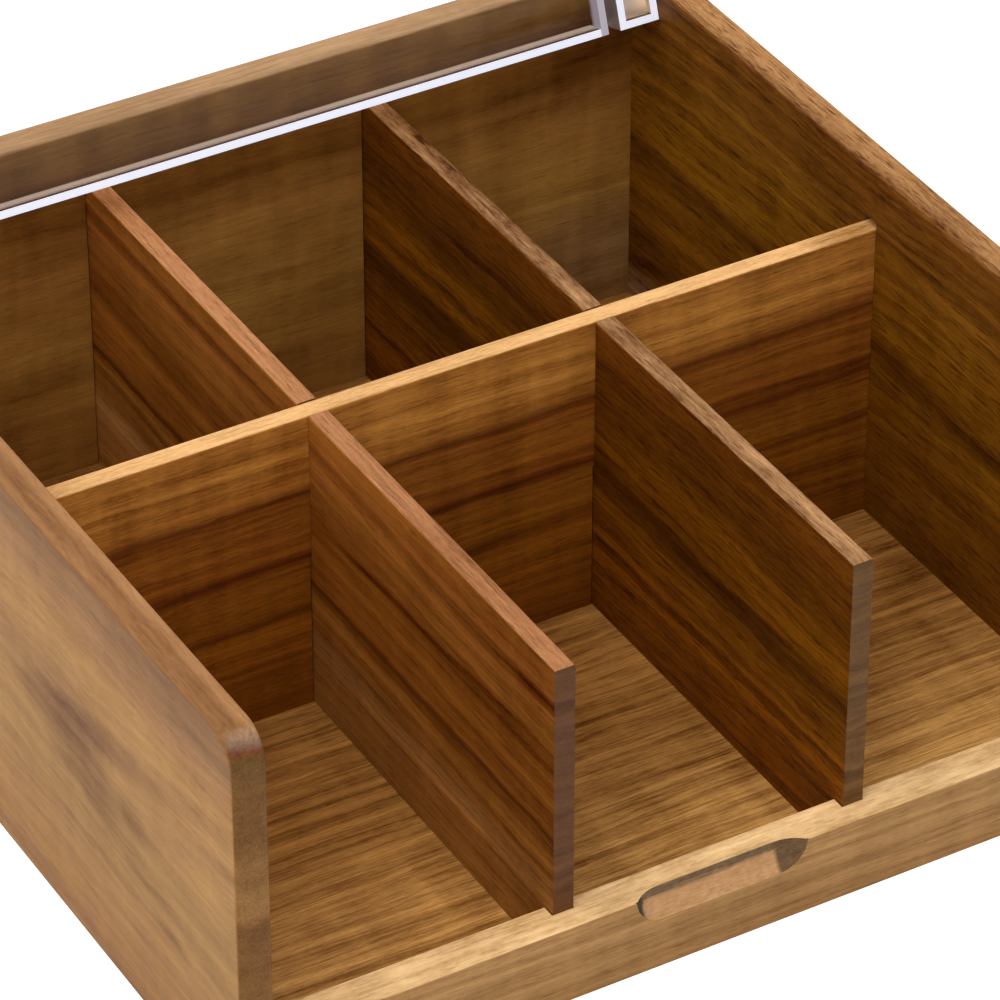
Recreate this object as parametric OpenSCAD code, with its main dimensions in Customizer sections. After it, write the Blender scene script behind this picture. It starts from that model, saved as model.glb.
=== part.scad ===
/* [Box] */
// Outside width, across the three columns of compartments
box_w = 233; // [215:0.5:260]
// Outside depth, from the front rail to the back of the rear board
box_d = 226.5; // [205:0.5:250]
// Height of the side and rear boards
box_h = 100; // [92:1:120]
// Thickness of the side boards and of the rear board
wall_t = 8; // [7.5:0.5:10]
// Radius of the top front corner of each side board
corner_r = 8; // [6:0.5:14]
// Easing of the long edges of the side boards
board_ease = 1.4; // [0.6:0.2:2]
// Easing of the top edges of the thin boards
thin_ease = 0.5; // [0.3:0.1:0.8]

/* [Front rail] */
// Height of the front rail
rail_h = 20; // [18:0.5:26]
// Thickness of the front rail
rail_t = 9; // [8.5:0.5:11]
// Length of the finger recess in the rail's top front edge
recess_l = 43; // [34:1:50]
// Depth of the finger recess, measured on the top of the rail
recess_depth = 2.9; // [2:0.1:3.4]
// Height of the finger recess, measured on the front of the rail
recess_h = 6.8; // [5:0.1:8]

/* [Dividers and floor] */
// Thickness of the three dividers
divider_t = 5; // [4.5:0.5:6]
// Height of the dividers' top edges above the surface under the box
divider_top = 85; // [78:0.5:86]
// Clear width of the middle column of compartments
middle_cell_w = 68; // [60:0.5:72]
// Depth of the housings that hold the ends of the dividers
housing_depth = 3.5; // [3:0.1:3.8]
// Space left beside a divider in its housings and halving joints
joint_gap = 0.25; // [0.05:0.05:0.3]
// Thickness of the floor board
floor_t = 6.4; // [6:0.1:8]
// Thickness of the tongue round the floor board
tongue_t = 3.2; // [2.8:0.1:3.6]
// How far the tongue runs into the boards round it
tongue_l = 4; // [3:0.1:4.5]

/* [Lid] */
// How far the lid stands open from its closed place, in degrees
lid_open = 109; // [0:1:109]
// Wall thickness of the moulded lid
lid_t = 1.8; // [1.5:0.1:2.2]
// Height of the lid's skirt, from its rim to the top of the plate
skirt_h = 9.1; // [8.6:0.1:9.2]
// Space between the lid and each side board
lid_side_gap = 0.3; // [0.3:0.1:1]
// Set-back of the closed lid's front face behind the front rail
lid_setback = 1.5; // [1:0.1:2]
// Space between the closed lid's front edge and the top of the front rail
lid_front_gap = 0.3; // [0.3:0.1:0.6]
// Radius of the lid's top front corner
lid_corner_r = 9; // [7:0.5:12]
// Radius of the lid's rear edge
lid_rear_r = 4.6; // [2.4:0.1:4.8]
// Radius between the skirts of the plate and of the flap
skirt_fillet_r = 5; // [2:0.5:8]
// Distance of the hinge axis in front of the rear board
axis_to_rear = 7.05; // [7:0.05:7.5]
// Distance of the hinge axis below the top of the side boards
axis_drop = 6.6; // [6.4:0.1:7]
// Distance of the hinge axis above the rim of the closed lid
axis_over_rim = 4.9; // [4.8:0.1:5]
// Distance of the hinge axis from the back face of the lid's skirt
axis_to_skirt = 3.3; // [3.2:0.1:3.4]

/* [Hinge corners] */
// Width of the relief slot beside each hinge corner
slot_w = 3.3; // [1.6:0.1:3.5]
// Length of the relief slot into the plate, from the hinge axis
slot_l = 18; // [12:0.5:24]
// Width of each hinge corner, outside the relief slot
tongue_w = 10.6; // [10:0.1:13]
// Diameter of the hinge pins
pin_d = 3; // [2.5:0.1:3.2]
// Diameter of the round boss that holds a pin
boss_d = 6.2; // [5.8:0.1:6.2]
// Running clearance round a pin, on the radius
pin_clearance = 0.06; // [0.03:0.01:0.09]
// Length of a pin inside the side board
pin_in_board = 5.5; // [4:0.5:6]
// Length of a pin inside the lid
pin_in_lid = 3; // [2.5:0.5:8]

/* [Dowels] */
// Diameter of the dowels in the rear board's ends
rear_dowel_d = 4; // [3:0.5:5]
// Diameter of the dowels in the front rail's ends
front_dowel_d = 5; // [3:0.5:5]
// Length of a dowel
dowel_l = 15; // [12:0.5:18]
// Length of a dowel inside the side board
dowel_in_board = 5; // [4:0.5:5.5]

/* [Hidden] */
$fn = 96;

// Overshoot that lets a cutter pass a face cleanly
pass = 1;

// Faces of the box, from the middle of its underside
inside_x = box_w / 2 - wall_t;
front_y = -box_d / 2;
rail_in_y = front_y + rail_t;
rear_in_y = box_d / 2 - wall_t;
rear_y = box_d / 2;
cell_d = (rear_in_y - rail_in_y - divider_t) / 2;
cross_y = rail_in_y + cell_d + divider_t / 2;
long_x = (middle_cell_w + divider_t) / 2;
divider_h = divider_top - floor_t;
halving_z = floor_t + divider_h / 2;
housing_w = divider_t + 2 * joint_gap;
tongue_z = floor_t - tongue_t;

// Finger recess: a round cutter whose middle line lies level with the rail's top,
// in front of its face, so that it enters upright and leaves at a slope
recess_out = (recess_h * recess_h - recess_depth * recess_depth) / (2 * recess_depth);
recess_r = recess_out + recess_depth;

// Lid, drawn closed round the hinge axis: -Y is towards the front, +Z up
axis_y = rear_in_y - axis_to_rear;
axis_z = box_h - axis_drop;
lid_half_w = inside_x - lid_side_gap;
lid_top = skirt_h - axis_over_rim;
lid_rim = -axis_over_rim;
lid_front = front_y + lid_setback - axis_y;
flap_bottom = rail_h + lid_front_gap - axis_z;
slot_x = lid_half_w - tongue_w - slot_w / 2;
slot_wall_w = slot_w + 2 * lid_t;

// Hinge pins and dowels
pin_l = pin_in_board + lid_side_gap + pin_in_lid;
pin_chamfer = 0.4;
pin_end_space = 0.5;
bore_d = pin_d + 2 * pin_clearance;
dowel_chamfer = 0.6;
dowel_end_space = 0.5;
front_dowel_y = front_y + rail_t / 2;
front_dowel_z = rail_h * 0.65;
rear_dowel_y = rear_y - wall_t / 2;
rear_dowel_zs = [for (share = [0.2, 0.5, 0.8]) box_h * share];

// A rectangle from (0, 0) whose two far corners, at y = l, are rounded by r
module eased_strip(w, l, r) {
    square([w, l - r]);
    translate([r, 0]) square([w - 2 * r, l]);
    for (x = [r, w - r]) translate([x, l - r]) circle(r);
}

// A board along X: thickness w in Y from y = 0, height l in Z, eased along its top
module board_along_x(length, w, l, r) {
    translate([-length / 2, 0, 0])
        rotate([90, 0, 90]) linear_extrude(length) eased_strip(w, l, r);
}

// A board along Y, centred on x = 0: thickness w in X, height l in Z, eased along its top
module board_along_y(length, w, l, r) {
    translate([-w / 2, length, 0])
        rotate([90, 0, 0]) linear_extrude(length) eased_strip(w, l, r);
}

// A round peg along X from x = 0, chamfered at both ends
module peg(d, l, chamfer) {
    rotate([0, 90, 0]) rotate_extrude()
        polygon([[0, 0], [d / 2 - chamfer, 0], [d / 2, chamfer],
                 [d / 2, l - chamfer], [d / 2 - chamfer, l], [0, l]]);
}

// The right-hand side board; the left one is its mirror image
module side_board() {
    difference() {
        translate([inside_x, 0, 0]) side_blank();
        cross_housing();
        floor_groove();
        board_bore(axis_y, axis_z, pin_d, pin_in_board);
        board_bore(front_dowel_y, front_dowel_z, front_dowel_d, dowel_in_board + dowel_end_space);
        for (z = rear_dowel_zs)
            board_bore(rear_dowel_y, z, rear_dowel_d, dowel_in_board + dowel_end_space);
    }
}

// The side board before its joints are cut, with its eased top and front edges
module side_blank() {
    // Body of the board behind and below the eased bands
    translate([0, front_y + corner_r, 0]) cube([wall_t, box_d - corner_r, box_h - corner_r]);
    // Band along the top
    translate([0, rear_y, box_h - corner_r]) rotate([90, 0, 0])
        linear_extrude(box_d - corner_r) eased_strip(wall_t, corner_r, board_ease);
    // Band up the front
    translate([0, front_y + corner_r, 0]) mirror([0, 1, 0])
        linear_extrude(box_h - corner_r) eased_strip(wall_t, corner_r, board_ease);
    // Rounded corner between the two bands
    translate([0, front_y + corner_r, box_h - corner_r])
        rotate([0, 90, 0]) rotate([0, 0, 180]) rotate_extrude(angle = 90)
            rotate(-90) mirror([1, 0]) eased_strip(wall_t, corner_r, board_ease);
}

// Stopped housing for one end of the cross divider, open towards the inside of the box
module cross_housing() {
    over_top = 2;
    translate([inside_x - pass, cross_y - housing_w / 2, floor_t])
        cube([housing_depth + pass, housing_w, divider_h + over_top]);
}

// Stopped groove for the floor board's tongue
module floor_groove() {
    translate([inside_x - pass, rail_in_y - tongue_l, tongue_z])
        cube([tongue_l + pass, rear_in_y - rail_in_y + 2 * tongue_l, tongue_t]);
}

// Blind round hole in the inside face of the right-hand side board
module board_bore(y, z, d, depth) {
    translate([inside_x - pass, y, z]) rotate([0, 90, 0]) cylinder(d = d, h = depth + pass);
}

module side_panel_left() {
    color("#b48a5c") mirror([1, 0, 0]) side_board();
}

module side_panel_right() {
    color("#7a5228") side_board();
}

module front_rail() {
    color("#c89a5e") difference() {
        translate([0, front_y, 0])
            board_along_x(2 * inside_x, rail_t, rail_h, thin_ease);
        finger_recess();
        for (x = [-long_x, long_x])
            translate([x - housing_w / 2, rail_in_y - housing_depth, floor_t])
                cube([housing_w, housing_depth + pass, rail_h]);
        translate([-inside_x - pass, rail_in_y - tongue_l, tongue_z])
            cube([2 * (inside_x + pass), tongue_l + pass, tongue_t]);
        for (side = [0, 1]) mirror([side, 0, 0])
            end_bore(front_dowel_y, front_dowel_z, front_dowel_d);
    }
}

// Round-ended scoop along the top front edge of the rail
module finger_recess() {
    end_x = recess_l / 2 - recess_h;
    translate([0, front_y - recess_out, rail_h]) {
        rotate([0, 90, 0]) cylinder(r = recess_r, h = 2 * end_x, center = true);
        for (x = [-end_x, end_x]) translate([x, 0, 0]) sphere(recess_r);
    }
}

// Blind dowel hole in the right-hand end of the rail or the rear board
module end_bore(y, z, d) {
    depth = dowel_l - dowel_in_board + dowel_end_space;
    translate([inside_x - depth, y, z]) rotate([0, 90, 0]) cylinder(d = d, h = depth + pass);
}

module rear_panel() {
    color("#6e4f2a") difference() {
        translate([0, rear_in_y, 0]) board_along_x(2 * inside_x, wall_t, box_h, thin_ease);
        for (x = [-long_x, long_x])
            translate([x - housing_w / 2, rear_in_y - pass, floor_t])
                cube([housing_w, housing_depth + pass, divider_h]);
        translate([-inside_x - pass, rear_in_y - pass, tongue_z])
            cube([2 * (inside_x + pass), tongue_l + pass, tongue_t]);
        for (side = [0, 1], z = rear_dowel_zs) mirror([side, 0, 0])
            end_bore(rear_dowel_y, z, rear_dowel_d);
    }
}

module base_panel() {
    color("#8a6230") {
        translate([-inside_x, rail_in_y, 0])
            cube([2 * inside_x, rear_in_y - rail_in_y, floor_t]);
        translate([-inside_x - tongue_l, rail_in_y - tongue_l, tongue_z])
            cube([2 * (inside_x + tongue_l), rear_in_y - rail_in_y + 2 * tongue_l, tongue_t]);
    }
}

module cross_divider() {
    color("#d9a668") difference() {
        translate([0, cross_y - divider_t / 2, floor_t])
            board_along_x(2 * (inside_x + housing_depth), divider_t, divider_h, thin_ease);
        for (x = [-long_x, long_x])
            translate([x - housing_w / 2, cross_y - divider_t, floor_t - pass])
                cube([housing_w, 2 * divider_t, halving_z - floor_t + pass]);
    }
}

module long_divider(x) {
    start_y = rail_in_y - housing_depth;
    difference() {
        translate([x, start_y, floor_t])
            board_along_y(rear_in_y + housing_depth - start_y, divider_t, divider_h, thin_ease);
        translate([x - divider_t, cross_y - housing_w / 2, halving_z])
            cube([2 * divider_t, housing_w, divider_h]);
    }
}

module long_divider_left() {
    color("#9a5f38") long_divider(-long_x);
}

module long_divider_right() {
    color("#6b4a22") long_divider(long_x);
}

// Outline of the lid in its Y-Z plane: a bent bar with a plate on top and a flap in
// front. Its outer faces are drawn in by inset, and its inner ones moved out by reach
module lid_outline(inset, reach) {
    top = lid_top - inset;
    front = lid_front + inset;
    rear = axis_to_skirt - inset;
    difference() {
        union() {
            translate([front, lid_rim - reach]) square([rear - front, top - lid_rim + reach]);
            translate([front, flap_bottom - reach])
                square([skirt_h - inset + reach, top - flap_bottom + reach]);
        }
        translate([front, top]) corner_waste(lid_corner_r - inset);
        translate([rear, top]) mirror([1, 0]) corner_waste(lid_rear_r - inset);
    }
}

// What is cut off a corner at (0, 0), with the piece to the right and below, to round it
module corner_waste(r) {
    difference() {
        translate([-pass, -r]) square([r + pass, r + pass]);
        translate([r, -r]) circle(r);
    }
}

// Fillet between the skirts of the plate and of the flap
module skirt_fillet() {
    r = skirt_fillet_r;
    translate([lid_front + skirt_h, lid_rim]) difference() {
        translate([-pass, -r]) square([r + pass, r + pass]);
        translate([r, -r]) circle(r);
    }
}

// A slab of the lid across X, from an outline in its Y-Z plane
module across(half_w) {
    translate([-half_w, 0, 0]) rotate([90, 0, 90]) linear_extrude(2 * half_w) children();
}

// The closed lid round its hinge axis
module lid_closed() {
    difference() {
        union() {
            difference() {
                across(lid_half_w) {
                    lid_outline(0, 0);
                    skirt_fillet();
                }
                across(lid_half_w - lid_t) lid_outline(lid_t, skirt_fillet_r);
            }
            for (side = [0, 1]) mirror([side, 0, 0]) {
                slot_walls();
                pin_boss();
            }
        }
        for (side = [0, 1]) mirror([side, 0, 0]) {
            relief_slot(slot_w);
            translate([lid_half_w - pin_in_lid - pin_end_space, 0, 0])
                rotate([0, 90, 0]) cylinder(d = bore_d, h = pin_in_lid + pin_end_space + pass);
        }
    }
}

// A round-ended slot from the back of the lid, w wide, through its whole height
module relief_slot(w) {
    translate([slot_x - w / 2, -slot_l, lid_rim - pass])
        cube([w, slot_l + axis_to_skirt + pass, skirt_h + 2 * pass]);
    translate([slot_x, -slot_l, lid_rim - pass]) cylinder(d = w, h = skirt_h + 2 * pass);
}

// Wall that runs round the relief slot, as deep as the skirt
module slot_walls() {
    intersection() {
        across(lid_half_w) lid_outline(0, 0);
        translate([slot_x, 0, lid_rim - pass]) {
            translate([-slot_wall_w / 2, -slot_l, 0])
                cube([slot_wall_w, slot_l + axis_to_skirt + pass, skirt_h + 2 * pass]);
            translate([0, -slot_l, 0]) cylinder(d = slot_wall_w, h = skirt_h + 2 * pass);
        }
    }
}

// Round boss for the pin, between the slot's wall and the side skirt
module pin_boss() {
    from_x = slot_x + slot_w / 2 + lid_t / 2;
    translate([from_x, 0, 0]) rotate([0, 90, 0])
        cylinder(d = boss_d, h = lid_half_w - lid_t / 2 - from_x);
}

module lid() {
    color([0.86, 0.88, 0.9, 0.4])
        translate([0, axis_y, axis_z]) rotate([-lid_open, 0, 0]) lid_closed();
}

// Steel pin, standing out of the right-hand side board into the lid
module hinge_pin() {
    translate([lid_half_w - pin_in_lid, axis_y, axis_z]) peg(pin_d, pin_l, pin_chamfer);
}

module hinge_pin_left() {
    color("silver") mirror([1, 0, 0]) hinge_pin();
}

module hinge_pin_right() {
    color("silver") hinge_pin();
}

// A dowel across the joint at the right-hand end of a board, and its twin at the left
module dowel_pair(y, z, d) {
    for (side = [0, 1]) mirror([side, 0, 0])
        translate([inside_x + dowel_in_board - dowel_l, y, z]) peg(d, dowel_l, dowel_chamfer);
}

module front_dowels() {
    color("#e0c08a") dowel_pair(front_dowel_y, front_dowel_z, front_dowel_d);
}

module rear_dowels() {
    color("#e0c08a") for (z = rear_dowel_zs) dowel_pair(rear_dowel_y, z, rear_dowel_d);
}

side_panel_left();
side_panel_right();
front_rail();
rear_panel();
base_panel();
cross_divider();
long_divider_left();
long_divider_right();
lid();
hinge_pin_left();
hinge_pin_right();
front_dowels();
rear_dowels();
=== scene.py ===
import math

import bpy
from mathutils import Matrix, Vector

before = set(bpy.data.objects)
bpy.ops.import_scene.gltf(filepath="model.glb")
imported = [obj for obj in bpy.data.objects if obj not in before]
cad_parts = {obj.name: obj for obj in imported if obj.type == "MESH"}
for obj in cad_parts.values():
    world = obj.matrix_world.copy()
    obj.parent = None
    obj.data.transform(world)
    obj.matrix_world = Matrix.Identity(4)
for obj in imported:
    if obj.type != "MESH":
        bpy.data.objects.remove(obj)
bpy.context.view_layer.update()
print("frame loaded,", len(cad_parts), "nodes")


def linearColour(hexText):
    # "#rrggbb" as the screen shows it, turned into the linear colour that sockets take
    channels = []
    for start in (1, 3, 5):
        value = int(hexText[start:start + 2], 16) / 255
        channels.append(value / 12.92 if value <= 0.04045 else ((value + 0.055) / 1.055) ** 2.4)
    return (*channels, 1.0)


def addNode(tree, kind, inputs=None, **settings):
    node = tree.nodes.new(kind)
    for name, value in settings.items():
        setattr(node, name, value)
    for name, value in (inputs or {}).items():
        if isinstance(value, bpy.types.NodeSocket):
            tree.links.new(value, node.inputs[name])
        else:
            node.inputs[name].default_value = value
    return node


def calc(tree, operation, first, second=0.0, third=0.0):
    return addNode(tree, "ShaderNodeMath", {0: first, 1: second, 2: third}, operation=operation).outputs[0]


def vectorCalc(tree, operation, first, second, third=(0, 0, 0)):
    node = addNode(tree, "ShaderNodeVectorMath", {0: first, 1: second, 2: third}, operation=operation)
    return node.outputs[0]


def splitVector(tree, vector):
    return addNode(tree, "ShaderNodeSeparateXYZ", {0: vector}).outputs


def joinVector(tree, x, y, z):
    return addNode(tree, "ShaderNodeCombineXYZ", {0: x, 1: y, 2: z}).outputs[0]


def remap(tree, value, low, high, toLow=0.0, toHigh=1.0):
    span = {"Value": value, "From Min": low, "From Max": high, "To Min": toLow, "To Max": toHigh}
    return addNode(tree, "ShaderNodeMapRange", span).outputs[0]


def allOf(tree, first, *others):
    # 1 only where every mask is 1
    for mask in others:
        first = calc(tree, "MULTIPLY", first, mask)
    return first


def colourRamp(tree, factor, stops):
    # stops are (place from 0 to 1, "#rrggbb"), in order
    node = addNode(tree, "ShaderNodeValToRGB", {"Fac": factor})
    ramp = node.color_ramp
    while len(ramp.elements) < len(stops):
        ramp.elements.new(1.0)
    for element, (place, hexText) in zip(ramp.elements, stops):
        element.position = place
        element.color = linearColour(hexText)
    return node.outputs["Color"]


def mixColour(tree, factor, first, second):
    # sockets 6 and 7 are the two colours of a colour mix, and output 2 is its result
    return addNode(tree, "ShaderNodeMix", {0: factor, 6: first, 7: second}, data_type="RGBA").outputs[2]


def newMaterial(name):
    material = bpy.data.materials.new(name)
    material.use_nodes = True
    tree = material.node_tree
    tree.nodes.clear()
    output = addNode(tree, "ShaderNodeOutputMaterial")
    shader = addNode(tree, "ShaderNodeBsdfPrincipled")
    tree.links.new(shader.outputs[0], output.inputs["Surface"])
    return material, tree, shader


def dress(nodeName, material):
    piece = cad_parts[nodeName]
    piece.data.materials.clear()
    piece.data.materials.append(material)
    return piece


# noise sizes in waves per millimetre (along the grain, across the face, through the board)
grain = {
    "slow": (0.012, 0.03, 0.03), "quick": (0.07, 0.15, 0.15), "streak": (0.012, 0.3, 0.3),
    "fibre": (0.035, 1.3, 1.3), "mottle": (0.12, 0.02, 0.1), "grit": (0.5, 2.2, 2.2),
    "blotch": (0.1, 0.25, 0.25), "cloud": (0.02, 0.05, 0.05), "pore": (0.16, 2.4, 2.4),
    "speckle": (0.3, 1.6, 1.6), "seedStep": 317.0, "ringSeedStep": 7.3,
    "poreEdge": 0.1, "poreHeight": -0.7, "bumpStrength": 0.35, "bumpDistance": 0.0002,
    "glossSpread": 0.06,
}


def woodNoise(tree, spot, stretch, detail=2.0, roughness=0.5):
    # stretch is how many waves per millimetre along the grain, across the face and through the board
    scaled = vectorCalc(tree, "MULTIPLY", spot, stretch)
    return addNode(tree, "ShaderNodeTexNoise",
                   {"Vector": scaled, "Scale": 1.0, "Detail": detail, "Roughness": roughness}).outputs


def boardSpot(tree, axes):
    # object coordinates in millimetres, turned to (along the grain, across the face, through the board)
    place = addNode(tree, "ShaderNodeTexCoord").outputs["Object"]
    parts = splitVector(tree, vectorCalc(tree, "MULTIPLY", place, (1000, 1000, 1000)))
    return joinVector(tree, *(parts[axis] for axis in axes))


def facing(tree, axis, low=0.55, high=0.8):
    # 1 where the surface faces along the axis, 0 where it lies along it
    normal = addNode(tree, "ShaderNodeTexCoord").outputs["Normal"]
    return remap(tree, calc(tree, "ABSOLUTE", splitVector(tree, normal)[axis]), low, high)


def weighted(tree, start, parts):
    # start plus each part, given as (value, its middle, its weight)
    total = start
    for value, middle, weight in parts:
        total = calc(tree, "MULTIPLY_ADD", calc(tree, "SUBTRACT", value, middle), weight, total)
    return total


def shaded(tree, colour, change):
    # lighter or darker by a share of itself; dark wood is redder, so blue changes most
    grey = joinVector(tree, change, change, change)
    steps = vectorCalc(tree, "MULTIPLY_ADD", grey, (1.0, 1.2, 1.5), (1, 1, 1))
    return vectorCalc(tree, "MULTIPLY", colour, vectorCalc(tree, "MAXIMUM", steps, (0.08, 0.05, 0.02)))


def woodMark(tree, along, across, mark):
    # a soft streak: (place along, place across, half length, half width, slope, strength)
    placeAlong, placeAcross, halfLength, halfWidth, slope, strength = mark
    u = calc(tree, "SUBTRACT", along, placeAlong)
    v = calc(tree, "SUBTRACT", calc(tree, "MULTIPLY_ADD", u, -slope, across), placeAcross)
    u = calc(tree, "MULTIPLY", u, 1.0 / halfLength)
    v = calc(tree, "MULTIPLY", v, 1.0 / halfWidth)
    reach = calc(tree, "MULTIPLY_ADD", u, u, calc(tree, "MULTIPLY", v, v))
    shape = calc(tree, "POWER", calc(tree, "SUBTRACT", 1.0, calc(tree, "MINIMUM", reach, 1.0)), 1.6)
    return calc(tree, "MULTIPLY", shape, strength)


def woodMaterial(name, look):
    material, tree, shader = newMaterial(name)
    spot = boardSpot(tree, look["axes"])
    ownPiece = (look["seed"] * grain["seedStep"], 0, 0)
    shifted = vectorCalc(tree, "ADD", spot, ownPiece)

    # growth lines waver slowly along the board, and a little at close range
    slow = woodNoise(tree, shifted, grain["slow"])["Color"]
    quick = woodNoise(tree, shifted, grain["quick"])["Color"]
    bend = vectorCalc(tree, "MULTIPLY", vectorCalc(tree, "SUBTRACT", slow, (0.5, 0.5, 0.5)),
                      (0, look["waver"], look["waver"]))
    shake = vectorCalc(tree, "MULTIPLY", vectorCalc(tree, "SUBTRACT", quick, (0.5, 0.5, 0.5)),
                       (0, look["shake"], look["shake"]))
    bent = vectorCalc(tree, "ADD", spot, vectorCalc(tree, "ADD", bend, shake))
    along, across, _ = splitVector(tree, bent)

    # rings are counted from the flame's centre line; the lean opens them out into flames
    offset = calc(tree, "SUBTRACT", across, look["flameCentre"])
    reach = calc(tree, "SQRT", calc(tree, "MULTIPLY_ADD", offset, offset, look["flameWidth"] ** 2))
    ring = calc(tree, "MULTIPLY_ADD", along, look["flameLean"], reach)
    ringStart = look["seed"] * grain["ringSeedStep"]
    ringPlace = calc(tree, "MULTIPLY_ADD", ring, look["ringsPerMm"], ringStart)
    rings = addNode(tree, "ShaderNodeTexNoise",
                    {"W": ringPlace, "Scale": 1.0, "Detail": 3.0, "Roughness": 0.6},
                    noise_dimensions="1D").outputs["Fac"]

    bentShifted = vectorCalc(tree, "ADD", bent, ownPiece)
    streak = woodNoise(tree, bentShifted, grain["streak"], 4.0, 0.6)["Fac"]
    fibre = woodNoise(tree, bentShifted, grain["fibre"], 4.0, 0.7)["Fac"]
    mottle = woodNoise(tree, shifted, grain["mottle"], 3.0, 0.55)["Fac"]
    grit = woodNoise(tree, shifted, grain["grit"], 2.0, 0.6)["Fac"]
    blotch = woodNoise(tree, shifted, grain["blotch"], 3.0, 0.65)["Fac"]
    cloud = woodNoise(tree, shifted, grain["cloud"], 3.0, 0.6)["Fac"]
    change = weighted(tree, 0.0, ((rings, 0.5, look["rings"]), (streak, 0.5, look["streaks"]),
                                  (cloud, 0.5, look.get("cloud", 0.4)),
                                  (fibre, 0.5, look["fibres"]), (mottle, 0.5, look["mottle"]),
                                  (grit, 0.5, look["grit"])))
    for mark in look.get("marks", ()):
        change = calc(tree, "ADD", change, woodMark(tree, along, across, mark))
    low, high = look["bandSpan"]
    base = colourRamp(tree, remap(tree, across, low, high), look["bands"])
    placeAlong, _, through = splitVector(tree, spot)
    for mark, patchColour in look.get("patches", ()):
        # a paler, greyer patch, only on the side that faces into the box
        patch = calc(tree, "MULTIPLY", woodMark(tree, along, across, mark),
                     calc(tree, "LESS_THAN", through, look["patchWithin"]))
        base = mixColour(tree, patch, base, linearColour(patchColour))
    colour = shaded(tree, base, change)

    # narrow edges show the growth lines on end, as finer stripes, in a colour of their own; on the boards'
    # tops this colour is partly the edge grain and partly a painted highlight where light falls on the
    # tops
    edgeChange = weighted(tree, 0.0, ((streak, 0.5, look["edgeStreaks"]), (fibre, 0.5, look["edgeFibres"]),
                                      (grit, 0.5, look["grit"]),
                                      (blotch, 0.5, look.get("edgeBlotch", 0.4))))
    for mark in look.get("edgeMarks", ()):
        edgeChange = calc(tree, "ADD", edgeChange, woodMark(tree, placeAlong, through, mark))
    edgeColour = shaded(tree, linearColour(look["edge"])[:3], edgeChange)
    onEdge = facing(tree, look["edgeAxis"], *look.get("edgeFacing", (0.55, 0.8)))
    colour = mixColour(tree, onEdge, colour, edgeColour)

    # open pores are short dark dashes along the grain
    pore = woodNoise(tree, shifted, look.get("poreStretch", grain["pore"]), 1.0)["Fac"]
    poreMask = remap(tree, pore, look["poreFrom"], look["poreFrom"] + grain["poreEdge"])
    faceDepth = look["poreDepth"]
    poreDepth = remap(tree, onEdge, 0.0, 1.0, -faceDepth, -look.get("edgePoreDepth", faceDepth))
    colour = shaded(tree, colour, calc(tree, "MULTIPLY", poreMask, poreDepth))

    # end grain is greyer, with pores as points
    speckle = woodNoise(tree, shifted, grain["speckle"], 3.0, 0.7)["Fac"]
    endChange = weighted(tree, 0.0, ((speckle, 0.5, look["endSpeckle"]), (rings, 0.5, look["rings"]),
                                     (blotch, 0.5, look.get("endBlotch", 0.4))))
    endBase = linearColour(look["end"])[:3]
    if "endBands" in look:
        endBase = colourRamp(tree, remap(tree, across, low, high), look["endBands"])
    endColour = shaded(tree, endBase, endChange)
    endMask = facing(tree, look["axes"][0], *look.get("endFacing", (0.55, 0.8)))
    colour = mixColour(tree, endMask, colour, endColour)

    if "recess" in look:
        colour = recessColour(tree, spot, colour, grit, look["recess"])

    tree.links.new(colour, shader.inputs["Base Color"])
    dull, shiny = look["roughness"] + grain["glossSpread"], look["roughness"] - grain["glossSpread"]
    gloss = remap(tree, fibre, 0.3, 0.7, dull, shiny)
    tree.links.new(gloss, shader.inputs["Roughness"])
    shader.inputs["Specular IOR Level"].default_value = look["specular"]
    height = calc(tree, "MULTIPLY_ADD", poreMask, grain["poreHeight"], fibre)
    bump = addNode(tree, "ShaderNodeBump", {"Height": height, "Strength": grain["bumpStrength"],
                                            "Distance": grain["bumpDistance"]})
    tree.links.new(bump.outputs[0], shader.inputs["Normal"])
    return material


def recessColour(tree, spot, colour, grit, look):
    # the routed recess: pale floor, scorched upper wall, greyer end grain at the right end and painted
    # shadow at the left end
    x, z, y = splitVector(tree, spot)
    frontY, topZ, halfLength = look["frontY"], look["topZ"], look["halfLength"]
    inside = allOf(tree, calc(tree, "GREATER_THAN", y, frontY + look["skin"]),
                   calc(tree, "LESS_THAN", z, topZ - look["skin"]),
                   calc(tree, "LESS_THAN", y, frontY + look["depth"]),
                   calc(tree, "LESS_THAN", calc(tree, "ABSOLUTE", x), halfLength + look["sideRoom"]))
    streak = woodNoise(tree, spot, (0.05, 0.8, 0.8), 3.0)["Fac"]
    rough = woodNoise(tree, spot, (0.5, 0.5, 0.5), 4.0, 0.7)["Fac"]
    change = weighted(tree, 0.0, ((grit, 0.5, 1.0), (rough, 0.5, 1.1), (streak, 0.5, 0.6)))
    edge = calc(tree, "MULTIPLY_ADD", calc(tree, "SUBTRACT", streak, 0.5), 3.0, z)
    wall = remap(tree, edge, topZ - look["wall"] - 0.5, topZ - look["wall"] + 0.3)
    softer = calc(tree, "MULTIPLY", change, 0.5)
    routed = mixColour(tree, wall, shaded(tree, linearColour(look["floor"])[:3], softer),
                       shaded(tree, linearColour(look["upper"])[:3], change))
    # the left end is painted shadow, the right end grey end grain
    for side in ("left", "right"):
        end = look[side + "End"]
        atEnd = remap(tree, x, end - 0.5, end + 0.5, *((1, 0) if side == "left" else (0, 1)))
        endColour = shaded(tree, linearColour(look[side + "Colour"])[:3], change)
        routed = mixColour(tree, atEnd, routed, endColour)
    return mixColour(tree, inside, colour, routed)
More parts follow.
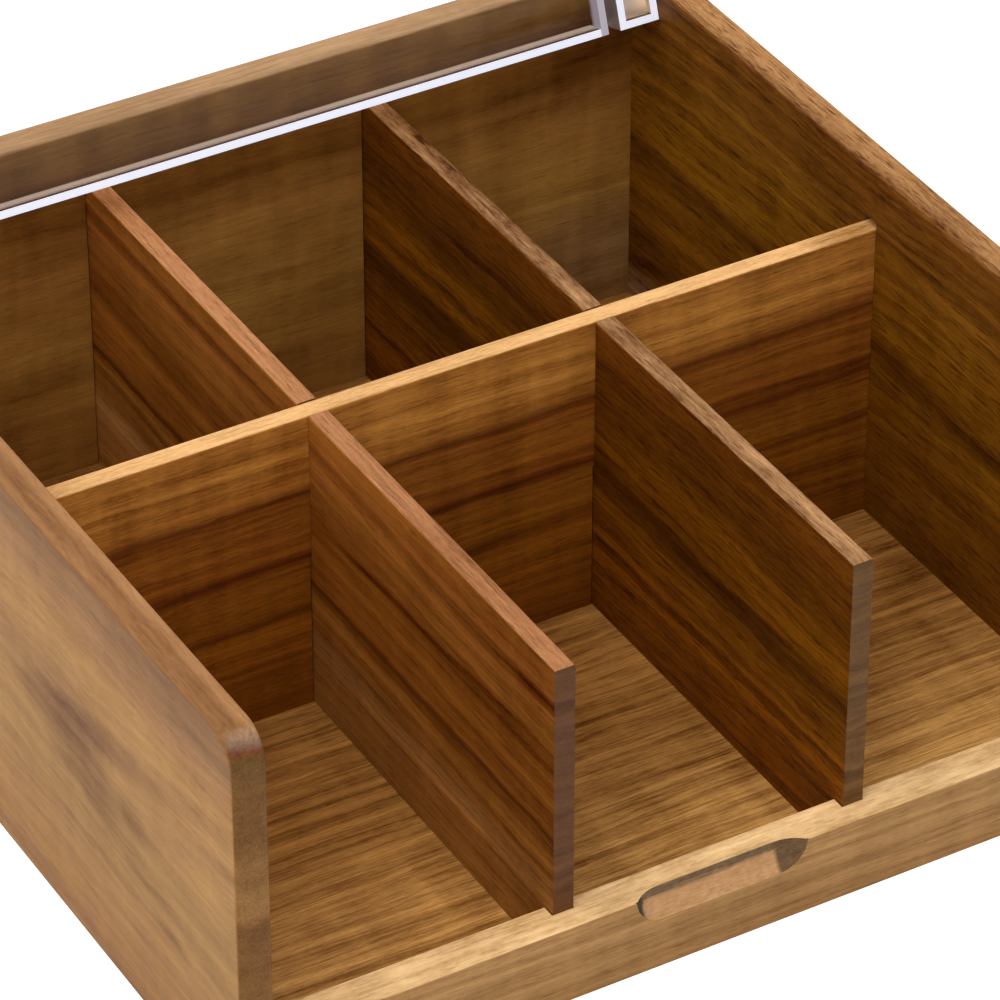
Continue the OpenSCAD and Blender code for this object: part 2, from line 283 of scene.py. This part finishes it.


# boards: lengths in millimetres; bands run across the face, from 0 to 1 of bandSpan
# each board's edge colour, seen on its tops, is partly the edge grain and partly a painted highlight
leftSide = {
    "axes": "YZX", "edgeAxis": "Z", "seed": 1.0,
    "waver": 9, "shake": 3, "flameCentre": 52.0, "flameWidth": 12.0, "flameLean": 0.16,
    "ringsPerMm": 0.12, "rings": 0.6,
    "bandSpan": (0.0, 100.0),
    "bands": [(0.0, "#a97237"), (0.08, "#b37d3d"), (0.2, "#ba8445"), (0.4, "#ba8847"),
              (0.6, "#bb8648"), (0.78, "#c7904c"), (0.86, "#b88149"), (0.92, "#a06e3a"),
              (1.0, "#956332")],
    "streaks": 0.7, "fibres": 0.3, "mottle": 0.35, "grit": 0.25,
    "marks": [(-45, 56, 52, 20, 0.0, -0.16), (-36, 57, 30, 11, -0.14, -0.26),
              (-52, 49, 28, 8, 0.05, -0.26), (-68, 49, 12, 4, 0.0, -0.2),
              (-80, 66, 52, 5, -0.16, -0.18), (-62, 39, 48, 6, 0.2, -0.14),
              (-84, 27, 11, 2, 0.1, -0.35), (-50, 28, 38, 2, 0.03, -0.2),
              (-60, 56, 16, 4, -0.1, 0.12), (-90, 52, 40, 9, 0.0, 0.1)],
    "edge": "#a67345", "edgeFacing": (0.25, 0.5), "edgeStreaks": 1, "edgeFibres": 0.8,
    "edgeMarks": [(-40, -113.3, 150, 2.6, 0.0, -0.2), (-40, -108.8, 150, 3.8, 0.0, 0.38)],
    "endBands": [(0.0, "#906433"), (0.52, "#825629"), (0.54, "#a27441"), (0.66, "#9a6d3a"),
                 (0.7, "#845929"), (0.84, "#845929"), (0.955, "#735024"), (0.968, "#7d4526"),
                 (0.98, "#8d6a55"), (1.0, "#b28a66")],
    "end": "#8f6436", "endSpeckle": 1.2, "endBlotch": 0.9, "endFacing": (0.3, 0.55),
    "poreFrom": 0.62, "poreDepth": 0.18, "roughness": 0.5, "specular": 0.15,
}
dress("side_panel_left", woodMaterial("leftSideWood", leftSide))

rightSide = {
    "axes": "YZX", "edgeAxis": "Z", "seed": 2.0,
    "waver": 8.0, "shake": 3.0, "flameCentre": 20.0, "flameWidth": 30.0, "flameLean": 0.05,
    "ringsPerMm": 0.3, "rings": 1.2,
    "bandSpan": (0.0, 100.0),
    "bands": [(0.0, "#73430a"), (0.2, "#7a4909"), (0.4, "#804d09"), (0.48, "#82510b"),
              (0.52, "#623506"), (0.57, "#8f5a0d"), (0.7, "#915b10"), (0.8, "#7e4d10"),
              (1.0, "#824d15")],
    "streaks": 1.1, "fibres": 1.2, "mottle": 0.5, "cloud": 0.8, "grit": 0.8,
    "marks": [(86, 36, 30, 11, 0.0, 0.36), (45, 80, 42, 8, 0.0, 0.45), (-35, 80, 26, 6, 0.0, 0.4),
              (78, 55, 40, 9, 0.0, 0.28), (-55, 45, 50, 14, 0.0, 0.25), (62, 34, 34, 12, 0.0, 0.35),
              (97, 18.5, 18, 3.4, -0.22, -0.5), (-60, 51, 40, 2, 0.02, -0.35),
              (40, 45, 60, 3, 0.02, -0.2), (-40, 30, 40, 1.6, 0.0, -0.25)],
    "patchWithin": 112.5, "patches": [((104, 10, 22, 8, -0.1, 0.85), "#a57c55")],
    "edge": "#b7814b", "edgeStreaks": 1.2, "edgeFibres": 1.6,
    "edgeMarks": [(0, 108.4, 160, 3.6, 0.0, -0.45)],
    "end": "#7d5c38", "endSpeckle": 0.7,
    "poreFrom": 0.58, "poreDepth": 0.5, "edgePoreDepth": 0.7, "roughness": 0.5, "specular": 0.12,
}
dress("side_panel_right", woodMaterial("rightSideWood", rightSide))

frontRail = {
    "axes": "XZY", "edgeAxis": "Z", "seed": 3.0,
    "waver": 3.0, "shake": 1.0, "flameCentre": -60.0, "flameWidth": 20.0, "flameLean": 0.02,
    "ringsPerMm": 0.3, "rings": 0.8,
    "bandSpan": (0.0, 20.0),
    "bands": [(0.0, "#b1814b"), (0.5, "#bb8b53"), (1.0, "#c39259")],
    "streaks": 0.8, "fibres": 0.8, "mottle": 0.4, "grit": 0.4,
    "edge": "#ffd092", "edgeBlotch": 1.1, "edgeStreaks": 0.9, "edgeFibres": 0.9,
    "edgeMarks": [(-70, -108, 12, 4, 0.0, 0.14), (-96, -109, 8, 2.2, 0.1, 0.12),
                  (-48, -110, 12, 1.8, -0.05, 0.12), (-84, -106, 5, 1.4, 0.0, -0.2),
                  (-58, -107, 7, 1.2, 0.05, -0.16)],
    "end": "#7d5c38", "endSpeckle": 0.7,
    "poreFrom": 0.62, "poreDepth": 0.25, "roughness": 0.5, "specular": 0.15,
    "recess": {"frontY": -113.25, "topZ": 20.0, "halfLength": 21.5, "depth": 2.95, "wall": 2.0,
               "skin": 0.04, "sideRoom": 0.2,
               "floor": "#d39f6c", "upper": "#806548", "rightEnd": 14.7, "rightColour": "#75593c",
               # the near-black left end colour is a painted shadow on the recess's curved end
               "leftEnd": -19.4, "leftColour": "#3f331c"},
}
dress("front_rail", woodMaterial("frontRailWood", frontRail))

rearBoard = {
    "axes": "XZY", "edgeAxis": "Z", "seed": 4.0,
    "waver": 6.0, "shake": 1.5, "flameCentre": -60.0, "flameWidth": 20.0, "flameLean": 0.03,
    "ringsPerMm": 0.15, "rings": 0.6,
    "bandSpan": (0.0, 100.0),
    # painted shade: the darker stops from 0.76 to 0.87 are the shadow below the lid's rim
    "bands": [(0.0, "#976a2b"), (0.22, "#9e6e2f"), (0.4, "#b4833a"), (0.68, "#a87233"),
              (0.76, "#905e22"), (0.87, "#8f5a21"), (0.91, "#a87334"), (1.0, "#a87334")],
    "streaks": 0.5, "fibres": 0.5, "mottle": 0.8, "cloud": 1.3, "grit": 0.4,
    # painted shade: the second mark darkens the top right corner under the lid
    "marks": [(72, 42, 42, 30, 0.0, 0.16), (100, 82, 24, 16, 0.0, -0.4)],
    "patchWithin": 109.0, "patches": [((96, 18, 34, 26, 0.0, 0.65), "#a98456")],
    "edge": "#bb8e5d", "edgeStreaks": 0.8, "edgeFibres": 1.3,
    "edgeMarks": [(-36, 109, 50, 12, 0.0, -0.1), (24, 109, 42, 12, 0.0, 0.08)],
    "end": "#7d5c38", "endSpeckle": 0.7,
    "poreFrom": 0.6, "poreDepth": 0.12, "roughness": 0.5, "specular": 0.15,
}
dress("rear_panel", woodMaterial("rearBoardWood", rearBoard))

floorBoard = {
    "axes": "XYZ", "edgeAxis": "Y", "seed": 5.0,
    "waver": 8.0, "shake": 1.2, "flameCentre": -400.0, "flameWidth": 20.0, "flameLean": 0.03,
    "ringsPerMm": 0.3, "rings": 1.3,
    "bandSpan": (-110.0, 110.0),
    "bands": [(0.0, "#cc9753"), (0.12, "#c48e4b"), (0.3, "#9c6930"), (1.0, "#94622e")],
    "streaks": 1.7, "fibres": 1.2, "mottle": 0.7, "grit": 0.7,
    "marks": [(46, -22, 44, 34, 0.0, 0.26), (78, -88, 40, 16, 0.0, 0.35),
              (104, -30, 16, 12, 0.2, -0.45), (80, -60, 30, 3, 0.1, -0.2),
              (-10, -40, 60, 3, 0.05, -0.15)],
    "edge": "#a9733a", "edgeStreaks": 0.6, "edgeFibres": 0.6,
    "end": "#7d5c38", "endSpeckle": 0.7,
    "poreFrom": 0.54, "poreDepth": 0.3, "poreStretch": (0.09, 2.6, 2.6),
    "roughness": 0.48, "specular": 0.15,
}
dress("base_panel", woodMaterial("floorWood", floorBoard))

crossBoard = {
    "axes": "XZY", "edgeAxis": "Z", "seed": 6.0,
    "waver": 4.0, "shake": 1.5, "flameCentre": -80.0, "flameWidth": 20.0, "flameLean": 0.02,
    "ringsPerMm": 0.35, "rings": 1.1,
    "bandSpan": (5.0, 85.0),
    "bands": [(0.0, "#7b440b"), (0.2, "#864d0f"), (0.33, "#935713"), (0.355, "#713c09"),
              (0.39, "#905612"), (0.505, "#915516"), (0.53, "#642d0a"), (0.56, "#8d4f14"),
              (0.66, "#9c5d1c"), (0.725, "#93551a"), (0.75, "#703a0e"), (0.785, "#b4722c"),
              (0.87, "#c58437"), (1.0, "#bc7a33")],
    "streaks": 1, "fibres": 0.8, "mottle": 0.9, "grit": 0.6,
    "marks": [(70, 64, 30, 6, 0.0, 0.12), (-95, 60, 26, 8, 0.0, 0.15), (-65, 74, 55, 13, 0.0, -0.14),
              (65, 74, 55, 13, 0.0, 0.16), (-85, 47, 20, 0.9, 0.1, 0.3), (-75, 45, 14, 0.8, 0.1, 0.3),
              (20, 54, 30, 1.2, 0.05, 0.15)],
    "edge": "#f7bd7a", "edgeStreaks": 0.8, "edgeFibres": 0.8,
    "edgeMarks": [(62, 0, 60, 12, 0.0, 0.07), (-60, 0, 30, 12, 0.0, 0.03),
                  (-20, 0, 24, 12, 0.0, -0.14), (36, 0, 30, 12, 0.0, 0.05),
                  (102, 0, 14, 12, 0.0, -0.4), (-101, 0, 14, 12, 0.0, -0.2)],
    "end": "#7d5c38", "endSpeckle": 0.7,
    "poreFrom": 0.62, "poreDepth": 0.3, "roughness": 0.48, "specular": 0.12,
}
dress("cross_divider", woodMaterial("crossWood", crossBoard))

longLeft = {
    "axes": "YZX", "edgeAxis": "Z", "seed": 7.0,
    "waver": 4.0, "shake": 2.0, "flameCentre": -80.0, "flameWidth": 20.0, "flameLean": -0.02,
    "ringsPerMm": 0.25, "rings": 1.1,
    "bandSpan": (5.0, 85.0),
    "bands": [(0.0, "#a07033"), (0.12, "#9b662c"), (0.2, "#a46e35"), (0.26, "#aa7941"),
              (0.3, "#9a6228"), (0.38, "#9b6425"), (0.42, "#975d20"), (0.44, "#602e0a"),
              (0.46, "#95591c"), (0.6, "#9b5e1e"), (0.69, "#93571c"), (0.78, "#a56727"),
              (0.9, "#9e5d24"), (1.0, "#a76625")],
    "streaks": 1, "fibres": 0.9, "mottle": 0.5, "grit": 0.5,
    "marks": [(98, 20, 24, 16, 0.0, 0.45), (-116, 55, 66, 55, 0.0, -0.36),
              (-18, 79, 42, 15, 0.0, 0.26), (50, 66, 40, 8, 0.0, 0.25), (92, 50, 24, 9, 0.0, 0.3),
              (-68, 22, 42, 0.9, 0.02, 0.4), (-58, 24.6, 30, 0.7, 0.0, 0.3),
              (-70, 76, 60, 12, 0.0, -0.14), (-65, 59, 55, 5, 0.0, -0.2), (60, 77, 60, 12, 0.0, 0.28),
              (-20, 58, 50, 1.8, -0.06, -0.4), (-75, 61, 34, 1.6, -0.06, -0.4),
              (-66, 62, 10, 1.2, 0.0, 0.2), (80, 58, 70, 2.2, 0.0, -0.25),
              (90, 48, 60, 1.4, 0.0, -0.3), (80, 77, 70, 2.0, 0.0, -0.2)],
    "edge": "#c08151", "edgeStreaks": 1, "edgeFibres": 1.2,
    "edgeMarks": [(60, -36.5, 50, 12, 0.0, 0.09), (60, -36.5, 60, 12, 0.0, 0.1),
                  (-68, -36.5, 28, 12, 0.0, -0.18)],
    "end": "#6a4427", "endSpeckle": 0.6,
    "poreFrom": 0.6, "poreDepth": 0.35, "roughness": 0.48, "specular": 0.12,
}
dress("long_divider_left", woodMaterial("longLeftWood", longLeft))

longRight = {
    "axes": "YZX", "edgeAxis": "Z", "seed": 8.0,
    "waver": 7.0, "shake": 3.0, "flameCentre": -80.0, "flameWidth": 20.0, "flameLean": 0.02,
    "ringsPerMm": 0.3, "rings": 1.4,
    "bandSpan": (5.0, 85.0),
    "bands": [(0.0, "#6b3704"), (0.1, "#7b4307"), (0.2, "#874b08"), (0.3, "#834b08"),
              (0.4, "#814c08"), (0.46, "#6a3c05"), (0.5, "#572e04"), (0.56, "#7d4805"),
              (0.66, "#7e4906"), (0.75, "#663803"), (0.86, "#683806"), (1.0, "#7c440c")],
    "streaks": 1.5, "fibres": 1.5, "mottle": 0.4, "grit": 0.8,
    "marks": [(80, 26, 42, 24, 0.0, -0.2), (-70, 47, 44, 2.2, -0.08, -0.45),
              (-4, 50, 12, 3, 0.2, -0.4), (-50, 57, 50, 3, 0.0, 0.15), (60, 58, 60, 4, 0.0, 0.2),
              (60, 47, 60, 2, 0.0, -0.4), (40, 72, 50, 2, -0.05, -0.3)],
    "edge": "#a9794c", "edgeBlotch": 1.3, "edgeStreaks": 1.8, "edgeFibres": 2.2,
    "edgeMarks": [(28, 36.5, 30, 12, 0.0, -0.2), (-10, 36.5, 22, 12, 0.0, -0.15),
                  (-75, 36.5, 50, 12, 0.0, 0.24), (55, 38.2, 80, 3.2, 0.0, -0.3),
                  (55, 35.4, 80, 1.3, 0.0, 0.15)],
    "end": "#714f2a", "endSpeckle": 0.6,
    "poreFrom": 0.58, "poreDepth": 0.5, "edgePoreDepth": 0.45, "roughness": 0.48, "specular": 0.12,
}
dress("long_divider_right", woodMaterial("longRightWood", longRight))

dowelWood = {
    "axes": "XYZ", "edgeAxis": "Z", "seed": 9.0,
    "waver": 1.0, "shake": 0.2, "flameCentre": -400.0, "flameWidth": 20.0, "flameLean": 0.0,
    "ringsPerMm": 0.5, "rings": 0.6,
    "bandSpan": (0.0, 100.0), "bands": [(0.0, "#d0a978"), (1.0, "#d0a978")],
    "streaks": 0.6, "fibres": 0.8, "mottle": 0.2, "grit": 0.4,
    "edge": "#d0a978", "edgeStreaks": 0.6, "edgeFibres": 0.8,
    "end": "#c0986a", "endSpeckle": 0.5,
    "poreFrom": 0.6, "poreDepth": 0.3, "roughness": 0.6, "specular": 0.2,
}
dowelMaterial = woodMaterial("dowelBeech", dowelWood)
dress("front_dowels", dowelMaterial)
dress("rear_dowels", dowelMaterial)
print("boards dressed")


# places in metres from the hinge line, with the lid closed
clearLid = {
    "hinge": (0, 0.0982, 0.0934), "openAngle": 109.0,
    # painted highlight: the rim near the hinge is a near-solid white-lavender band that also glows,
    # standing in for light carried along the clear edge
    "rimHeight": -0.0049, "rimBand": 0.0002, "rimColour": "#e9edfb", "rimPaintedGlow": 0.5, "rimSolid": 0.85,
    "skirtTop": 0.003, "skirtColour": "#c9d4de", "sideRimColour": "#a9b7c6",
    "flapTo": -0.1955, "skirtFrom": 0.1045,
    "tintFrom": -0.0094, "tintColour": "#d3d6dd", "rearSkirtFrom": 0.0013,
    # painted highlight: the tan line is a highlight painted on the rear skirt's inner fillet
    "lineHeight": -0.0008, "lineWidth": 0.0024, "lineColour": "#dcc0a6", "lineSolid": 0.75,
    # painted shade: the brown foot band just above the rim stands in for the shaded wood seen through the
    # skirt
    "footDepth": 0.0021, "footColour": "#62402f", "footSolid": 0.75,
    "wallFrom": 0.0923, "wallTo": 0.0945, "wallDepth": 0.0045,
    # the rim along the hinge wall gets a weaker painted glow
    "wallColour": "#c9bfca", "wallSolid": 0.85, "wallPaintedGlow": 0.16,
    # painted shade: the slot between the hinge walls is drawn near-solid grey-brown
    "slotFrom": 0.0945, "slotTo": 0.0979, "slotEnd": -0.0145, "slotColour": "#9c8b84", "slotSolid": 0.8,
    "cornerFrom": 0.0995, "cornerBack": -0.003, "cornerColour": "#ffe3c6", "cornerSolid": 0.55,
    "bodyColour": "#f8f8fb", "roughness": 0.04, "ior": 1.2, "specular": 0.25,
    "wearScale": 900.0, "wearHaze": 2.5, "shadowColour": (0.93, 0.93, 0.95, 1.0),
}


def clearMaterial(name, look):
    material, tree, shader = newMaterial(name)
    place = addNode(tree, "ShaderNodeTexCoord").outputs["Object"]

    # turned back to the closed lid's own place round its hinge
    turn = (math.radians(-look["openAngle"]), 0, 0)
    closed = addNode(tree, "ShaderNodeMapping",
                     {"Vector": place, "Location": look["hinge"], "Rotation": turn},
                     vector_type="TEXTURE").outputs[0]
    x, y, z = splitVector(tree, closed)
    aside = calc(tree, "ABSOLUTE", x)
    rim = look["rimHeight"]
    # the flap hangs below the rim's height, so the rim ends where the flap begins
    behindFlap = calc(tree, "GREATER_THAN", y, look["flapTo"])
    onRim = calc(tree, "MULTIPLY", behindFlap,
                 remap(tree, z, rim + look["rimBand"], rim + 0.5 * look["rimBand"]))
    nearHinge = remap(tree, y, look["tintFrom"] - 0.001, look["tintFrom"] + 0.001)
    onSkirt = calc(tree, "GREATER_THAN", y, look["rearSkirtFrom"])

    # masks, each 1 on its own part of the lid
    fromLine = calc(tree, "ABSOLUTE", calc(tree, "SUBTRACT", z, look["lineHeight"]))
    lineWidth, footDepth, wallDepth = look["lineWidth"], look["footDepth"], look["wallDepth"]
    # painted highlight: a tan strip on the rear skirt's inner fillet
    line = calc(tree, "MULTIPLY", onSkirt, remap(tree, fromLine, lineWidth, 0.3 * lineWidth))
    # painted shade: a solid brown band at the foot of the rear skirt
    foot = calc(tree, "MULTIPLY", onSkirt, remap(tree, z, rim + footDepth, rim + 0.7 * footDepth))
    besideSlot = calc(tree, "GREATER_THAN", y, look["slotEnd"])
    underPlate = calc(tree, "LESS_THAN", z, look["skirtTop"])
    onWall = allOf(tree, besideSlot, calc(tree, "GREATER_THAN", aside, look["wallFrom"]),
                   calc(tree, "LESS_THAN", aside, look["wallTo"]))
    wall = calc(tree, "MULTIPLY", onWall, remap(tree, z, rim + wallDepth, rim + 0.6 * wallDepth))
    # painted shade: the slot between the hinge walls, grey-brown
    slot = allOf(tree, besideSlot, underPlate, calc(tree, "GREATER_THAN", aside, look["slotFrom"]),
                 calc(tree, "LESS_THAN", aside, look["slotTo"]))
    corner = allOf(tree, underPlate, calc(tree, "GREATER_THAN", y, look["cornerBack"]),
                   calc(tree, "GREATER_THAN", aside, look["cornerFrom"]))
    tinted = calc(tree, "MAXIMUM", behindFlap, calc(tree, "GREATER_THAN", aside, look["skirtFrom"]))
    skirt = calc(tree, "MULTIPLY", tinted, remap(tree, z, look["skirtTop"], 0.0))
    colour = mixColour(tree, skirt, linearColour(look["bodyColour"]), linearColour(look["skirtColour"]))
    colour = mixColour(tree, nearHinge, colour, linearColour(look["tintColour"]))
    sideRim = calc(tree, "MULTIPLY", onRim, calc(tree, "SUBTRACT", 1.0, nearHinge))
    # each layer is drawn over the ones before it, with its own colour and how solid it looks
    solid = 0.0
    # near the hinge the rim layer is a painted highlight
    for mask, layer in ((corner, "corner"), (line, "line"), (foot, "foot"),
                        (slot, "slot"), (onRim, "rim"), (wall, "wall")):
        colour = mixColour(tree, mask, colour, linearColour(look[layer + "Colour"]))
        solid = calc(tree, "MAXIMUM", solid, calc(tree, "MULTIPLY", mask, look[layer + "Solid"]))
    colour = mixColour(tree, sideRim, colour, linearColour(look["sideRimColour"]))
    tree.links.new(colour, shader.inputs["Base Color"])
    tree.links.new(calc(tree, "SUBTRACT", 1.0, solid), shader.inputs["Transmission Weight"])
    # painted glow: the rim near the hinge emits light though it is no lamp, weaker on the hinge wall
    shader.inputs["Emission Color"].default_value = linearColour(look["rimColour"])
    paintedGlowHere = remap(tree, onWall, 0.0, 1.0, look["rimPaintedGlow"], look["wallPaintedGlow"])
    glow = calc(tree, "MULTIPLY", nearHinge, paintedGlowHere)
    tree.links.new(calc(tree, "MULTIPLY", onRim, glow), shader.inputs["Emission Strength"])
    shader.inputs["IOR"].default_value = look["ior"]
    shader.inputs["Specular IOR Level"].default_value = look["specular"]
    wear = addNode(tree, "ShaderNodeTexNoise",
                   {"Vector": closed, "Scale": look["wearScale"], "Detail": 4.0}).outputs["Fac"]
    haze = remap(tree, wear, 0.3, 0.7, look["roughness"], look["roughness"] * look["wearHaze"])
    tree.links.new(haze, shader.inputs["Roughness"])

    # lamps shine through the clear plastic
    output = tree.nodes["Material Output"]
    shadowRay = addNode(tree, "ShaderNodeLightPath").outputs["Is Shadow Ray"]
    clear = addNode(tree, "ShaderNodeBsdfTransparent", {"Color": look["shadowColour"]})
    mixed = addNode(tree, "ShaderNodeMixShader", {0: shadowRay, 1: shader.outputs[0], 2: clear.outputs[0]})
    tree.links.new(mixed.outputs[0], output.inputs["Surface"])
    return material


dress("lid", clearMaterial("clearLidPlastic", clearLid))

pinSteel = {"colour": "#b9bbbf", "roughness": 0.32, "brushing": (300, 9000, 9000)}


def steelMaterial(name, look):
    material, tree, shader = newMaterial(name)
    place = addNode(tree, "ShaderNodeTexCoord").outputs["Object"]
    stretched = vectorCalc(tree, "MULTIPLY", place, look["brushing"])
    brushed = addNode(tree, "ShaderNodeTexNoise", {"Vector": stretched, "Scale": 1.0}).outputs["Fac"]
    shader.inputs["Base Color"].default_value = linearColour(look["colour"])
    shader.inputs["Metallic"].default_value = 1.0
    gloss = remap(tree, brushed, 0.3, 0.7, look["roughness"] - 0.08, look["roughness"] + 0.1)
    tree.links.new(gloss, shader.inputs["Roughness"])
    return material


steel = steelMaterial("pinSteel", pinSteel)
dress("hinge_pin_left", steel)
dress("hinge_pin_right", steel)
print("lid and pins dressed")


studio = {
    "fill": 0.5, "keySize": 1.6, "keyPlace": (-0.5, -0.35, 1.6), "keyPower": 14.0,
    "floorDiffuse": 0.75, "floorSize": 6.0, "shadowKept": 0.25,
}

world = bpy.data.worlds.new("studioWorld")
bpy.context.scene.world = world
world.use_nodes = True
worldTree = world.node_tree
worldTree.nodes.clear()
rays = addNode(worldTree, "ShaderNodeLightPath").outputs
seen = calc(worldTree, "MAXIMUM", rays["Is Camera Ray"],
            calc(worldTree, "MAXIMUM", rays["Is Glossy Ray"], rays["Is Transmission Ray"]))
strength = calc(worldTree, "MULTIPLY_ADD", seen, 1.0 - studio["fill"], studio["fill"])
background = addNode(worldTree, "ShaderNodeBackground", {"Color": (1, 1, 1, 1), "Strength": strength})
addNode(worldTree, "ShaderNodeOutputWorld", {"Surface": background.outputs[0]})

bpy.ops.mesh.primitive_plane_add(size=studio["floorSize"])
floor = bpy.context.object
floor.name = "studioFloor"
floorMaterial, floorTree, floorShader = newMaterial("studioFloorPaint")
floorTree.nodes.remove(floorShader)
floorRays = addNode(floorTree, "ShaderNodeLightPath").outputs
floorSeen = calc(floorTree, "MAXIMUM", floorRays["Is Camera Ray"],
                 calc(floorTree, "MAXIMUM", floorRays["Is Glossy Ray"], floorRays["Is Transmission Ray"]))
floorGrey = studio["floorDiffuse"]
paint = addNode(floorTree, "ShaderNodeBsdfDiffuse", {"Color": (floorGrey, floorGrey, floorGrey, 1)})
whitening = calc(floorTree, "MULTIPLY", floorSeen, 1.0 - studio["shadowKept"])
glow = addNode(floorTree, "ShaderNodeEmission", {"Color": (1, 1, 1, 1), "Strength": whitening})
both = addNode(floorTree, "ShaderNodeAddShader", {0: paint.outputs[0], 1: glow.outputs[0]})
floorTree.links.new(both.outputs[0], floorTree.nodes["Material Output"].inputs["Surface"])
floor.data.materials.append(floorMaterial)

keyData = bpy.data.lights.new("keyLight", "AREA")
keyData.shape = "DISK"
keyData.size = studio["keySize"]
keyData.energy = studio["keyPower"]
key = bpy.data.objects.new("keyLight", keyData)
bpy.context.scene.collection.objects.link(key)
key.location = studio["keyPlace"]
key.rotation_euler = (-Vector(studio["keyPlace"])).to_track_quat("-Z", "Y").to_euler()

cameraView = {
    "place": (-0.52087, -0.91563, 0.80720), "azimuth": -30.131, "elevation": 35.815,
    "lens": 208.09, "sensor": 36.0,
}
azimuth = math.radians(cameraView["azimuth"])
elevation = math.radians(cameraView["elevation"])
level = math.cos(elevation)
backward = Vector((math.sin(azimuth) * level, -math.cos(azimuth) * level, math.sin(elevation)))
cameraData = bpy.data.cameras.new("studioCamera")
cameraData.lens = cameraView["lens"]
cameraData.sensor_width = cameraView["sensor"]
camera = bpy.data.objects.new("studioCamera", cameraData)
bpy.context.scene.collection.objects.link(camera)
camera.location = cameraView["place"]
camera.rotation_euler = backward.to_track_quat("Z", "Y").to_euler()
bpy.context.scene.camera = camera
bpy.context.scene.view_settings.view_transform = "Standard"
print("studio set")
